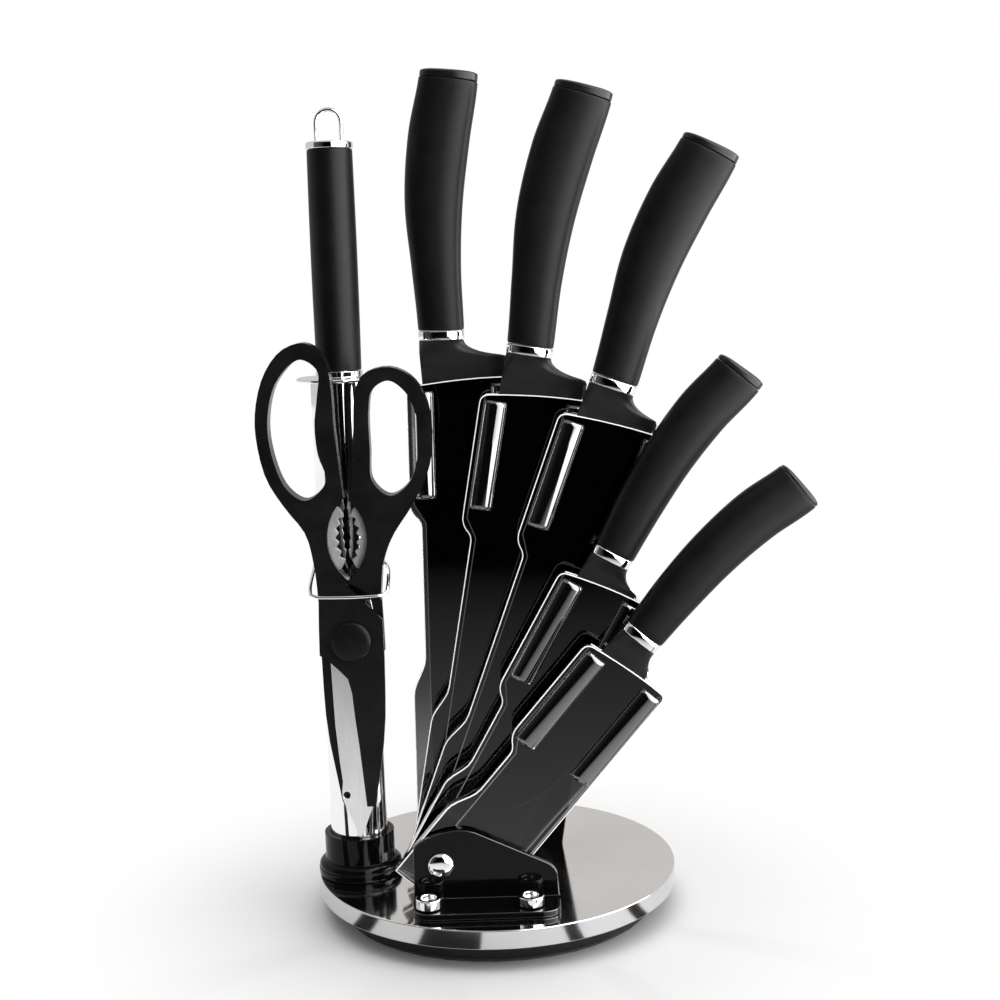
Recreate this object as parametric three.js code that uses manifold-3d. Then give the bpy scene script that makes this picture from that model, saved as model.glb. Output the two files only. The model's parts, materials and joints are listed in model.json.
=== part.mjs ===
// Fan-shaped knife stand on a turntable: five sheathed knives, a sharpening steel in a chrome
// tube and kitchen scissors in a wire loop. Millimetres, +Z up, the front faces -Y.
// The origin is on the tabletop, on the axis that the round base turns about.
import * as THREE from "three";
import { mergeVertices } from "three/addons/utils/BufferGeometryUtils.js";
import Module from "manifold-3d";

const wasm = await Module();
wasm.setup();

// ---- driving dimensions -------------------------------------------------------------------
const GAP = 0.3; // between pieces that touch
const DISC_RADIUS = 85;
const DISC_TOP = 19; // height of the disc's upper face
const RIM_HEIGHT = 8.6;
const SHEET = 1; // stainless steel sheet
const ROUND = 40; // sides of a large circle
const SMALL_ROUND = 24; // sides of a small circle

const PIVOT_X = -24.8; // the bolt that all the sheaths hang on
const PIVOT_Z = DISC_TOP + 18.6;
const SHEATH_THICKNESS = 6.6;
const POCKET_THICKNESS = 2.6;
const SHEATH_PITCH = 15.8; // from one sheath to the next, front to back
const FIRST_SHEATH_Y = -48.2; // middle plane of the front sheath
const BLADE_THICKNESS = 2;
const BOLT_RADIUS = 3;
const BOLT_HOLE = BOLT_RADIUS + GAP;

const TUBE_X = -64.9;
const TUBE_Y = -8.3;
const TUBE_RADIUS = 13.3;
const TUBE_TOP = DISC_TOP + 233;

const SCISSORS_X = -61.9;
const SCISSORS_Z = DISC_TOP + 118.2; // height of the scissors' pivot
const SCISSORS_BACK = -28.2; // rear face of the handles, just clear of the steel's guard
const SCISSORS_THICKNESS = 10;

// From the rear of the fan to the front. tilt is from vertical, in degrees. top is the height
// of the sheath's mouth at the spine, above the pivot; jog, flare and right shape its outline.
// ring is the foot of the knife's collar, collar its middle across, edge and tip the blade's.
const LARGE = { width: 21.4, depth: 14.6, heel: 7.2 };
const SMALL = { width: 18.8, depth: 12.6, heel: 8.2 };
const KNIVES = [
  { name: "chef", tilt: 0.5, top: 209, rise: 4.2, right: 38, jog: 151, flare: [79, 60], grip: LARGE,
    ring: 230.9, collar: 4.2, edge: 35, belly: 110, tip: [-2, 24], handle: 117 },
  { name: "bread", tilt: 10.2, top: 207, rise: 4.2, right: 38, jog: 147, flare: [68, 50], grip: LARGE,
    ring: 228, collar: 6.4, edge: 35, belly: 84, tip: [2, 26], handle: 117.5 },
  { name: "slicing", tilt: 20.3, top: 206.3, rise: 4, right: 38, jog: 146, flare: [60, 42], grip: LARGE,
    ring: 223.9, collar: 6, edge: 31, belly: 90, tip: [-1, 24], handle: 111 },
  { name: "utility", tilt: 29.4, top: 140, rise: 3.8, right: 29, jog: 81, flare: [44, 28], grip: SMALL,
    ring: 154.2, collar: 4.8, edge: 24, belly: 70, tip: [0, 23], handle: 97.5 },
  { name: "paring", tilt: 40.6, top: 119, rise: 3, right: 30, jog: 67, flare: [38, 21], grip: SMALL,
    ring: 133.8, collar: 4.6, edge: 19, belly: 75, tip: [4, 32], handle: 94.4 },
];

// ---- materials ----------------------------------------------------------------------------
const finish = (color, roughness, metalness, extra = {}) =>
  new THREE.MeshStandardMaterial({ color, roughness, metalness, ...extra });
const CHROME = () => finish(0xe2e4e6, 0.12, 1);
const BRUSHED = () => finish(0xc4c0bc, 0.32, 1);
const BLACK_GLOSS = () => finish(0x0b0b0c, 0.15, 0);
const BLACK_MATT = () => finish(0x141414, 0.6, 0);
const SOFT_TOUCH = () => finish(0x101011, 0.5, 0);
const SMOKED = () => finish(0x16171a, 0.08, 0, { transparent: true, opacity: 0.55 });
const BLADE_BLACK = () => finish(0x121314, 0.35, 0.4);
const STEEL = () => finish(0xd2d3d3, 0.25, 1);
const FOAM = () => finish(0x1c1c1c, 0.95, 0);

// ---- geometry helpers ---------------------------------------------------------------------
function signedVolume(geometry) {
  const position = geometry.attributes.position;
  const index = geometry.index;
  const [a, b, c] = [new THREE.Vector3(), new THREE.Vector3(), new THREE.Vector3()];
  let sum = 0;
  for (let i = 0; i < index.count; i += 3) {
    a.fromBufferAttribute(position, index.getX(i));
    b.fromBufferAttribute(position, index.getX(i + 1));
    c.fromBufferAttribute(position, index.getX(i + 2));
    sum += a.dot(b.cross(c));
  }
  return sum / 6;
}

// A closed three.js geometry as a manifold solid, facing out whichever way it was wound.
function solid(geometry) {
  const plain = geometry.clone();
  plain.deleteAttribute("normal");
  plain.deleteAttribute("uv");
  const merged = mergeVertices(plain, 1e-4);
  const triangles = Uint32Array.from(merged.index.array);
  if (signedVolume(merged) < 0) {
    for (let i = 0; i < triangles.length; i += 3) {
      [triangles[i], triangles[i + 1]] = [triangles[i + 1], triangles[i]];
    }
  }
  const vertices = Float32Array.from(merged.attributes.position.array);
  return new wasm.Manifold(
    new wasm.Mesh({ numProp: 3, vertProperties: vertices, triVerts: triangles }),
  );
}

function geometryOf(body) {
  const mesh = body.getMesh();
  const geometry = new THREE.BufferGeometry();
  geometry.setAttribute("position", new THREE.BufferAttribute(Float32Array.from(mesh.vertProperties), 3));
  geometry.setIndex(Array.from(mesh.triVerts));
  geometry.computeVertexNormals();
  return geometry;
}

function add(group, name, body, material) {
  const mesh = new THREE.Mesh(geometryOf(body), material);
  mesh.name = name;
  group.add(mesh);
}

const join = (...bodies) => bodies.reduce((whole, body) => whole.add(body));
const cut = (body, ...tools) => tools.reduce((rest, tool) => rest.subtract(tool), body);

// An outline in the XZ plane, given its thickness between two Y values.
function plateY(shape, front, back, curveSegments = 8) {
  const geometry = new THREE.ExtrudeGeometry(shape, {
    depth: back - front, bevelEnabled: false, curveSegments,
  });
  geometry.rotateX(Math.PI / 2);
  geometry.translate(0, back, 0);
  return solid(geometry);
}

// An outline in the XY plane, between two heights.
function plateZ(shape, low, high, curveSegments = 8) {
  const geometry = new THREE.ExtrudeGeometry(shape, {
    depth: high - low, bevelEnabled: false, curveSegments,
  });
  geometry.translate(0, 0, low);
  return solid(geometry);
}

// A cylinder on the line x, y, between two heights.
function rodZ(radius, low, high, x = 0, y = 0, sides = SMALL_ROUND) {
  const geometry = new THREE.CylinderGeometry(radius, radius, high - low, sides);
  geometry.rotateX(Math.PI / 2);
  geometry.translate(x, y, (low + high) / 2);
  return solid(geometry);
}

// A cylinder on the line x, z, between two Y values.
function rodY(radius, front, back, x = 0, z = 0, sides = SMALL_ROUND) {
  const geometry = new THREE.CylinderGeometry(radius, radius, back - front, sides);
  geometry.translate(x, (front + back) / 2, z);
  return solid(geometry);
}

// A profile of [radius, height] turned about the Z axis. It starts and ends on the axis, or closes.
function turned(profile, x = 0, y = 0, sides = ROUND) {
  const geometry = new THREE.LatheGeometry(profile.map(([r, z]) => new THREE.Vector2(r, z)), sides);
  geometry.rotateX(Math.PI / 2);
  geometry.translate(x, y, 0);
  return solid(geometry);
}

function box(low, high) {
  const size = high.map((value, i) => value - low[i]);
  const geometry = new THREE.BoxGeometry(...size);
  geometry.translate(...low.map((value, i) => value + size[i] / 2));
  return solid(geometry);
}

// A skin over rings of points, which all have the same number of points, closed by flat ends.
function loft(rings) {
  const sides = rings[0].length;
  const points = rings.flat();
  const triangles = [];
  for (let r = 0; r + 1 < rings.length; r += 1) {
    for (let i = 0; i < sides; i += 1) {
      const next = (i + 1) % sides;
      const [a, b] = [r * sides + i, r * sides + next];
      triangles.push(a, b, b + sides, a, b + sides, a + sides);
    }
  }
  for (const [start, turn] of [[0, 1], [(rings.length - 1) * sides, -1]]) {
    for (let i = 1; i + 1 < sides; i += 1) {
      const [b, c] = turn > 0 ? [i + 1, i] : [i, i + 1];
      triangles.push(start, start + b, start + c);
    }
  }
  const geometry = new THREE.BufferGeometry();
  geometry.setAttribute("position", new THREE.Float32BufferAttribute(points.flat(), 3));
  geometry.setIndex(triangles);
  return solid(geometry);
}

// A rounded oval ring of points, centred at (across, along) in the fan plane, turned by lean.
function oval(across, along, width, depth, lean = 0, sides = 20) {
  const SQUARENESS = 0.86; // 1 is an ellipse, less is squarer
  return Array.from({ length: sides }, (_, i) => {
    const angle = (2 * Math.PI * i) / sides;
    const [c, s] = [Math.cos(angle), Math.sin(angle)];
    const u = (Math.sign(c) * Math.abs(c) ** SQUARENESS * width) / 2;
    const y = (Math.sign(s) * Math.abs(s) ** SQUARENESS * depth) / 2;
    return [across + u * Math.cos(lean), y, along - u * Math.sin(lean)];
  });
}

// A round wire along a path that has two ends.
function wire(path, radius, steps) {
  const section = new THREE.Shape();
  section.absarc(0, 0, radius, 0, 2 * Math.PI, false);
  return solid(new THREE.ExtrudeGeometry(section, { extrudePath: path, steps, curveSegments: 4 }));
}

const outline = (points) => new THREE.Shape(points.map(([x, y]) => new THREE.Vector2(x, y)));
const closedCurve = (points, samples) => {
  const curve = new THREE.CatmullRomCurve3(points.map(([x, y]) => new THREE.Vector3(x, y, 0)), true);
  return outline(curve.getPoints(samples).slice(0, -1).map((p) => [p.x, p.y]));
};

const model = new THREE.Group();

// ---- foot: stays on the table --------------------------------------------------------------
const PAD_TOP = 1.5;
const FOOT_FLOOR = 4.3;
const FOOT_TOP = 9.7;
const CORE_BOTTOM = 10.2;
const CORE_TOP = DISC_TOP - SHEET - GAP / 2;
const HUB_RADIUS = 14;
const NUT_HEIGHT = 3;

function buildFoot() {
  const foot = turned([
    [BOLT_HOLE, 6.6], [HUB_RADIUS - 2.5, 6.6], [HUB_RADIUS - 2.5, PAD_TOP + GAP], [75.5, PAD_TOP + GAP],
    [79.6, FOOT_TOP - 1], [79.2, FOOT_TOP], [76.6, FOOT_TOP], [73.5, FOOT_FLOOR],
    [68.6, FOOT_FLOOR], [68.6, 7], [61.4, 7], [61.4, FOOT_FLOOR], [HUB_RADIUS, FOOT_FLOOR],
    [HUB_RADIUS, 9], [BOLT_HOLE, 9], [BOLT_HOLE, 6.6],
  ]);
  add(model, "base_foot", foot, BLACK_MATT());
  add(model, "non_slip_pad", turned([[0, 0], [74, 0], [74, PAD_TOP], [0, PAD_TOP]]), FOAM());
  const ring = turned([[62, 7.3], [68, 7.3], [68, CORE_BOTTOM - GAP], [62, CORE_BOTTOM - GAP], [62, 7.3]]);
  add(model, "glide_ring", ring, finish(0xe8e6e0, 0.4, 0));
}

// ---- disc: turns on the foot ---------------------------------------------------------------
const SCREW_RADIUS = 2;
const SCREW_HOLE = SCREW_RADIUS + GAP;
const SCREW_DEPTH = 11.5; // how low the screws reach in the disc
const FRONT_SCREWS = [[-30.2, -65], [15, -65]];
const REAR_SCREWS = [[-22, 29], [23, 29]];

function buildDisc() {
  const holes = (low) => [...FRONT_SCREWS, ...REAR_SCREWS].map(([x, y]) => (
    rodZ(SCREW_HOLE, low, DISC_TOP + 1, x, y, 12)
  ));
  const shell = turned([
    [0, CORE_TOP + GAP / 2], [DISC_RADIUS - SHEET, CORE_TOP + GAP / 2],
    [DISC_RADIUS - SHEET, DISC_TOP - RIM_HEIGHT], [DISC_RADIUS, DISC_TOP - RIM_HEIGHT],
    [DISC_RADIUS, DISC_TOP - 0.6], [DISC_RADIUS - 0.6, DISC_TOP], [0, DISC_TOP],
  ], 0, 0, 60);
  add(model, "disc_shell", cut(shell, ...holes(CORE_TOP - 1)), BRUSHED());
  const HEAD_RECESS = 4.2;
  const core = turned([
    [BOLT_HOLE, CORE_BOTTOM], [DISC_RADIUS - SHEET - GAP, CORE_BOTTOM],
    [DISC_RADIUS - SHEET - GAP, CORE_TOP - GAP / 2], [7, CORE_TOP - GAP / 2],
    [7, CORE_TOP - HEAD_RECESS], [BOLT_HOLE, CORE_TOP - HEAD_RECESS], [BOLT_HOLE, CORE_BOTTOM],
  ]);
  add(model, "disc_core", cut(core, ...holes(SCREW_DEPTH)), BLACK_MATT());
  const spindle = join(
    rodZ(6.4, CORE_TOP - HEAD_RECESS + GAP, CORE_TOP - GAP - 0.4),
    rodZ(BOLT_RADIUS, PAD_TOP + 1, CORE_TOP - HEAD_RECESS + 1),
  );
  add(model, "spindle_bolt", spindle, STEEL());
  const nut = rodZ(5.8, 6.3 - NUT_HEIGHT, 6.3, 0, 0, 6);
  add(model, "spindle_nut", cut(nut, rodZ(BOLT_HOLE, 2, 7)), STEEL());
}

// ---- the two brackets that hold the fan ----------------------------------------------------
const PLATE = 3;
const FLANGE = 2.8;
const FRONT_PLATE_BACK = -52;
const REAR_PLATE_FRONT = 18.8;
const FLOOR = DISC_TOP + GAP; // what stands on the disc starts here

function flange(left, right, near, far, low) {
  const CORNER = 9;
  const side = Math.sign(far - near);
  const shape = new THREE.Shape();
  shape.moveTo(left, near);
  shape.lineTo(left, far - side * CORNER);
  shape.quadraticCurveTo(left, far, left + CORNER, far);
  shape.lineTo(right - CORNER, far);
  shape.quadraticCurveTo(right, far, right, far - side * CORNER);
  shape.lineTo(right, near);
  return plateZ(shape, low, low + FLANGE);
}

function buildBrackets() {
  const front = new THREE.Shape();
  front.moveTo(-37.2, FLOOR);
  front.lineTo(-37, FLOOR + 25);
  front.quadraticCurveTo(-36.5, FLOOR + 29, -28, FLOOR + 32);
  front.quadraticCurveTo(-17, FLOOR + 36, -9, FLOOR + 33);
  front.lineTo(21, FLOOR + 19);
  front.quadraticCurveTo(27.4, FLOOR + 16.5, 27.4, FLOOR + 11);
  front.lineTo(28.1, FLOOR);
  const frontPlate = plateY(front, FRONT_PLATE_BACK - PLATE, FRONT_PLATE_BACK);
  const frontFlange = flange(-37.2, 28.1, FRONT_PLATE_BACK - 1, -73, FLOOR);
  const frontHoles = FRONT_SCREWS.map(([x, y]) => rodZ(SCREW_HOLE, FLOOR - 1, FLOOR + 4, x, y, 12));
  const frontBolt = rodY(BOLT_HOLE, -60, -50, PIVOT_X, PIVOT_Z);
  add(model, "front_bracket", cut(join(frontPlate, frontFlange), frontBolt, ...frontHoles), BLACK_GLOSS());

  const rear = new THREE.Shape();
  rear.moveTo(-35, FLOOR);
  rear.lineTo(-35, FLOOR + 30);
  rear.quadraticCurveTo(-35, FLOOR + 40, -25, FLOOR + 42);
  rear.lineTo(32, FLOOR + 46);
  rear.quadraticCurveTo(39.6, FLOOR + 46, 39, FLOOR + 40);
  rear.lineTo(32.6, FLOOR);
  const rearPlate = plateY(rear, REAR_PLATE_FRONT, REAR_PLATE_FRONT + PLATE);
  const rearFlange = flange(-35, 32.6, REAR_PLATE_FRONT + PLATE - 1, 37, FLOOR);
  const rearHoles = REAR_SCREWS.map(([x, y]) => rodZ(SCREW_HOLE, FLOOR - 1, FLOOR + 4, x, y, 12));
  const rearBolt = rodY(BOLT_HOLE, 15, 25, PIVOT_X, PIVOT_Z);
  add(model, "rear_bracket", cut(join(rearPlate, rearFlange), rearBolt, ...rearHoles), BLACK_GLOSS());
}

function buildFixings() {
  const HEAD_RADIUS = 5.9;
  const HEAD_HEIGHT = 4.6;
  const seat = FLOOR + FLANGE + GAP;
  const places = [...FRONT_SCREWS, ...REAR_SCREWS];
  const names = ["front_screw_left", "front_screw_right", "rear_screw_left", "rear_screw_right"];
  places.forEach(([x, y], i) => {
    const head = rodZ(HEAD_RADIUS, seat, seat + HEAD_HEIGHT, x, y);
    const shank = rodZ(SCREW_RADIUS, SCREW_DEPTH + GAP, seat + 1, x, y, 12);
    const socket = rodZ(3.6, seat + HEAD_HEIGHT - 2.2, seat + HEAD_HEIGHT + 1, x, y, 6);
    add(model, names[i], cut(join(head, shank), socket), CHROME());
  });
  const DOME = [[0, -2.6], [3.4, -2.2], [5.3, -1.2], [6, 0], [0, 0]];
  const dome = new THREE.LatheGeometry(DOME.map(([r, y]) => new THREE.Vector2(r, y)), SMALL_ROUND);
  dome.translate(PIVOT_X, FRONT_PLATE_BACK - PLATE - GAP, PIVOT_Z);
  const shank = rodY(BOLT_RADIUS, FRONT_PLATE_BACK - PLATE - 1, REAR_PLATE_FRONT + PLATE + 7, PIVOT_X, PIVOT_Z);
  add(model, "pivot_bolt", join(solid(dome), shank), CHROME());
  const nutFront = REAR_PLATE_FRONT + PLATE + GAP;
  const nut = rodY(5.6, nutFront, nutFront + 5, PIVOT_X, PIVOT_Z, 6);
  add(model, "pivot_nut", cut(nut, rodY(BOLT_HOLE, nutFront - 1, nutFront + 6, PIVOT_X, PIVOT_Z)), STEEL());
}

// ---- sheaths: smoked acrylic pockets, drawn in the fan plane with the pivot at the origin ----
const LEFT = -13; // the sheath's spine side beside the mouth
const TAIL_LEFT = -13.6;
const WAIST = -7.6;
const WALL = 2;
const RIB_WIDTH = 10.5;
const RIB_LENGTH = 51;
const RIB_DEPTH = 3;
const RIB_END = [[0, 0.5], [0.8, 0.85], [2.4, 1]]; // distance from a rib's end, part of its full size

function sheathOutline({ top, rise, right, jog, flare }) {
  const TAIL_RIGHT = Math.min(right, 30);
  const ease = 0.35 * (flare[0] - flare[1]);
  const shape = new THREE.Shape();
  shape.moveTo(TAIL_LEFT, -16);
  shape.lineTo(TAIL_LEFT, flare[1]);
  shape.bezierCurveTo(TAIL_LEFT, flare[1] + ease, WAIST, flare[0] - ease, WAIST, flare[0]);
  shape.lineTo(WAIST, jog - 9);
  shape.quadraticCurveTo(WAIST, jog - 6, WAIST - 2.5, jog - 4);
  shape.quadraticCurveTo(LEFT, jog - 1, LEFT, jog + 3);
  shape.lineTo(LEFT, top - 4);
  shape.quadraticCurveTo(LEFT, top, LEFT + 4, top + 0.6);
  shape.quadraticCurveTo(right * 0.4, top + rise * 0.8 + 1, right - 3, top + rise);
  shape.quadraticCurveTo(right, top + rise, right, top + rise - 3);
  shape.lineTo(right, 68);
  shape.lineTo(TAIL_RIGHT, 38);
  shape.lineTo(TAIL_RIGHT, 4.5);
  shape.lineTo(-2, -16);
  return shape;
}

function pocketOutline({ top, rise, right, jog }) {
  const MOUTH = LEFT + WALL;
  const SLOT = WAIST + WALL;
  const BOTTOM = 17;
  return outline([
    [SLOT, BOTTOM], [SLOT, jog - 7], [MOUTH, jog + 2], [MOUTH, top + rise + 9],
    [right - WALL, top + rise + 9], [right - WALL, 70], [Math.min(right, 30) - WALL - 1, 40],
    [Math.min(right, 30) - WALL - 1, BOTTOM + 10], [12, BOTTOM],
  ]);
}

// A long rounded bump on the sheath's front face, with rounded ends.
function rib(across, high) {
  const SIDES = 20;
  const ring = (along, size) => Array.from({ length: SIDES }, (_, i) => {
    const angle = (2 * Math.PI * i) / SIDES;
    const u = across + ((RIB_WIDTH / 4) * (1 + size)) * Math.cos(angle);
    return [u, -SHEATH_THICKNESS / 2 + RIB_DEPTH * size * Math.sin(angle), along];
  });
  const lower = RIB_END.map(([along, size]) => ring(high - RIB_LENGTH + along, size));
  const upper = RIB_END.map(([along, size]) => ring(high - along, size));
  return loft([...lower, ...upper.reverse()]);
}

function sheath(knife) {
  const half = SHEATH_THICKNESS / 2;
  const pocket = POCKET_THICKNESS / 2;
  const body = join(
    plateY(sheathOutline(knife), -half, half, 6),
    rib(LEFT + 2.3 + RIB_WIDTH / 2, knife.top - 2),
    rib(knife.right - 0.6 - RIB_WIDTH / 2, knife.top + knife.rise - 3),
  );
  return cut(body, plateY(pocketOutline(knife), -pocket, pocket, 6), rodY(BOLT_HOLE, -9, 9));
}

// ---- knives: drawn in the same plane --------------------------------------------------------
const SPINE = -5;
const COLLAR_HEIGHT = 4.2;
const TANG_LENGTH = 55;
const TANG_HALF = 4.5;

function bladeOutline({ top, ring, collar, edge, belly, tip, grip }) {
  const back = collar - grip.width / 2 + 0.2;
  const front = collar + grip.width / 2 - 0.2;
  const heel = ring - grip.heel;
  const shape = new THREE.Shape();
  shape.moveTo(back, ring - GAP);
  shape.lineTo(SPINE, top - 3);
  shape.lineTo(SPINE, tip[1] + (belly - tip[1]) * 0.45);
  shape.quadraticCurveTo(SPINE, tip[1] + 8, tip[0], tip[1]);
  shape.quadraticCurveTo(edge, tip[1] + (belly - tip[1]) * 0.35, edge, belly);
  shape.lineTo(edge, heel - 4);
  shape.quadraticCurveTo(edge, heel, edge - 3, heel);
  shape.quadraticCurveTo(front + 1, heel + 0.5, front, ring - GAP);
  return shape;
}

function buildBlade(knife) {
  const { ring, collar, grip, top } = knife;
  const half = BLADE_THICKNESS / 2;
  const foot = ring - GAP;
  const depth = foot - (top + 2);
  const bolster = loft([
    oval(collar, foot, grip.width - 0.4, grip.depth - 0.4),
    oval(collar + 0.3, foot - depth * 0.3, grip.width - 0.6, grip.depth * 0.66),
    oval(collar + 0.8, foot - depth * 0.62, grip.width - 1.2, grip.depth * 0.36),
    oval(collar + 1, foot - depth, grip.width - 2.4, BLADE_THICKNESS - 0.4),
  ]);
  const tang = box([collar - TANG_HALF, -half, foot - 1], [collar + TANG_HALF, half, ring + TANG_LENGTH]);
  return join(plateY(bladeOutline(knife), -half, half, 8), bolster, tang);
}

// The grip's middle line, across from the collar, and its width, by distance from the collar.
function gripCurve({ grip, handle }) {
  const large = grip === LARGE;
  const drift = large ? [0, -1.5, -1.9, 1.2, 6.6] : [0, -0.2, 1, 4.6, 11];
  const widths = large ? [21.6, 23.2, 27, 28.6, 27.2] : [19, 21.2, 22.8, 24, 23.8];
  const middle = new THREE.SplineCurve(drift.map((d, i) => new THREE.Vector2(d, (handle * i) / 4)));
  const width = new THREE.SplineCurve(widths.map((w, i) => new THREE.Vector2(w, (handle * i) / 4)));
  return (t) => {
    const [m, w, tangent] = [middle.getPoint(t), width.getPoint(t), middle.getTangent(t)];
    return { across: m.x, along: m.y, width: w.x, lean: Math.atan2(tangent.x, tangent.y) * t };
  };
}

function gripRing(knife, t, scale = 1, lift = 0) {
  const at = gripCurve(knife)(t);
  const thickness = knife.grip.depth + (at.width - knife.grip.width) * 0.45;
  const base = knife.ring + COLLAR_HEIGHT + GAP;
  const [u, v] = [knife.collar + at.across, base + at.along];
  return oval(u + lift * Math.sin(at.lean), v + lift * Math.cos(at.lean), at.width * scale, thickness * scale,
    at.lean);
}

function buildHandle(knife) {
  const STATIONS = 9;
  const CAP = 0.975; // where the end cap starts, as a part of the handle's length
  const rings = Array.from({ length: STATIONS + 1 }, (_, i) => gripRing(knife, (CAP * i) / STATIONS));
  const slot = box(
    [knife.collar - TANG_HALF - GAP, -BLADE_THICKNESS / 2 - GAP, knife.ring],
    [knife.collar + TANG_HALF + GAP, BLADE_THICKNESS / 2 + GAP, knife.ring + TANG_LENGTH + GAP],
  );
  const grip = cut(loft(rings), slot);
  const cap = loft([
    gripRing(knife, CAP, 0.98, GAP), gripRing(knife, 1, 0.97, 0),
    gripRing(knife, 1, 0.86, 1.1), gripRing(knife, 1, 0.6, 1.8),
  ]);
  const collar = cut(
    loft([
      oval(knife.collar, knife.ring, knife.grip.width, knife.grip.depth),
      oval(knife.collar, knife.ring + COLLAR_HEIGHT, knife.grip.width, knife.grip.depth),
    ]),
    slot, box([knife.collar - TANG_HALF - GAP, -BLADE_THICKNESS / 2 - GAP, knife.ring - 1],
      [knife.collar + TANG_HALF + GAP, BLADE_THICKNESS / 2 + GAP, knife.ring + 1]),
  );
  return { grip, cap, collar };
}

function buildFan() {
  KNIVES.forEach((knife, i) => {
    const fromFront = KNIVES.length - 1 - i;
    const leaf = new THREE.Group();
    leaf.position.set(PIVOT_X, FIRST_SHEATH_Y + fromFront * SHEATH_PITCH, PIVOT_Z);
    leaf.rotation.y = THREE.MathUtils.degToRad(knife.tilt);
    const { grip, cap, collar } = buildHandle(knife);
    add(leaf, `${knife.name}_sheath`, sheath(knife), SMOKED());
    add(leaf, `${knife.name}_blade`, buildBlade(knife), BLADE_BLACK());
    add(leaf, `${knife.name}_collar`, collar, CHROME());
    add(leaf, `${knife.name}_handle`, grip, SOFT_TOUCH());
    add(leaf, `${knife.name}_end_cap`, cap, BLACK_GLOSS());
    model.add(leaf);
    if (fromFront > 0) {
      const middle = leaf.position.y - SHEATH_PITCH / 2;
      const half = (SHEATH_PITCH - SHEATH_THICKNESS) / 2 - GAP;
      const sleeve = cut(
        rodY(7, middle - half, middle + half, PIVOT_X, PIVOT_Z),
        rodY(BOLT_HOLE, middle - half - 1, middle + half + 1, PIVOT_X, PIVOT_Z),
      );
      add(model, `fan_spacer_${fromFront}`, sleeve, BLACK_MATT());
    }
  });
}

// ---- sharpening steel, its tube and the tube's socket ---------------------------------------
function buildTube() {
  const cup = FLOOR + 20;
  const socket = turned([
    [0, FLOOR], [19.4, FLOOR], [19.7, FLOOR + 0.8], [19.7, FLOOR + 3.2], [19.2, FLOOR + 3.6],
    [19.5, FLOOR + 4.2], [19.2, FLOOR + 5.6], [18, FLOOR + 6.8], [16.4, FLOOR + 7.2], [16.4, cup - 0.6],
    [15.8, cup], [TUBE_RADIUS + GAP, cup],
    [TUBE_RADIUS + GAP, FLOOR + 2.2], [0, FLOOR + 2.2],
  ], TUBE_X, TUBE_Y);
  add(model, "tube_socket", socket, BLACK_GLOSS());
  const inner = TUBE_RADIUS - SHEET;
  const foot = FLOOR + 2.2 + GAP;
  const tube = turned([
    [inner, foot], [TUBE_RADIUS, foot], [TUBE_RADIUS, TUBE_TOP], [inner, TUBE_TOP], [inner, foot],
  ], TUBE_X, TUBE_Y);
  add(model, "steel_tube", tube, CHROME());
}

function buildSteel() {
  const guard = TUBE_TOP + GAP;
  const grip = guard + 4.8;
  const cap = grip + 98.6;
  const guardDisc = turned([
    [5.2, guard], [19.4, guard], [19.6, guard + 0.8], [19.2, guard + 1.6], [10.6, guard + 1.8],
    [10.6, guard + 4.5], [5.2, guard + 4.5], [5.2, guard],
  ], TUBE_X, TUBE_Y);
  add(model, "steel_guard", guardDisc, CHROME());
  const handle = turned([
    [0, grip + 30], [5.2, grip + 30], [5.2, grip], [10.2, grip], [10.5, grip + 12], [10.3, grip + 60],
    [10.2, cap - GAP], [0, cap - GAP],
  ], TUBE_X, TUBE_Y, 32);
  add(model, "steel_handle", handle, SOFT_TOUCH());
  const capDisc = turned([
    [0, cap], [10.3, cap], [10.5, cap + 0.5], [10.5, cap + 2.4], [9.6, cap + 3.2], [0, cap + 3.2],
  ], TUBE_X, TUBE_Y, 32);
  add(model, "steel_end_cap", capDisc, CHROME());
  const rod = turned([
    [0, TUBE_TOP - 190], [2.2, TUBE_TOP - 190], [4.6, TUBE_TOP - 184], [4.6, grip + 29], [0, grip + 29],
  ], TUBE_X, TUBE_Y, 20);
  add(model, "steel_rod", rod, STEEL());

  const WIRE = 1;
  const LOOP_HALF = 5.6;
  const foot = cap + 3.2 + GAP;
  const path = new THREE.CurvePath();
  const at = (x, z) => new THREE.Vector3(TUBE_X + x, TUBE_Y, z);
  const arch = foot + 8.2;
  const points = [at(-LOOP_HALF, foot), at(-LOOP_HALF, foot + 4)];
  for (let i = 0; i <= 10; i += 1) {
    const angle = Math.PI - (Math.PI * i) / 10;
    points.push(at(LOOP_HALF * Math.cos(angle), arch + LOOP_HALF * Math.sin(angle)));
  }
  points.push(at(LOOP_HALF, foot + 4), at(LOOP_HALF, foot));
  path.add(new THREE.CatmullRomCurve3(points));
  add(model, "steel_loop", wire(path, WIRE, 28), CHROME());
}

// ---- scissors: drawn across and up from their pivot ------------------------------------------
const FACE = SCISSORS_BACK - SCISSORS_THICKNESS; // front face of the handles
const SHEAR = (SCISSORS_BACK + FACE) / 2; // where the two blades meet
const STEEL_PLATE = 2;
const PIN_RADIUS = 2.4;
const LENS_HALF = 8.8; // the nutcracker opening between the handles
const LENS_HEIGHT = 18.8;
const LENS_MIDDLE = 46.5;
const LENS_RADIUS = (LENS_HEIGHT ** 2 + LENS_HALF ** 2) / (2 * LENS_HALF);

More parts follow.
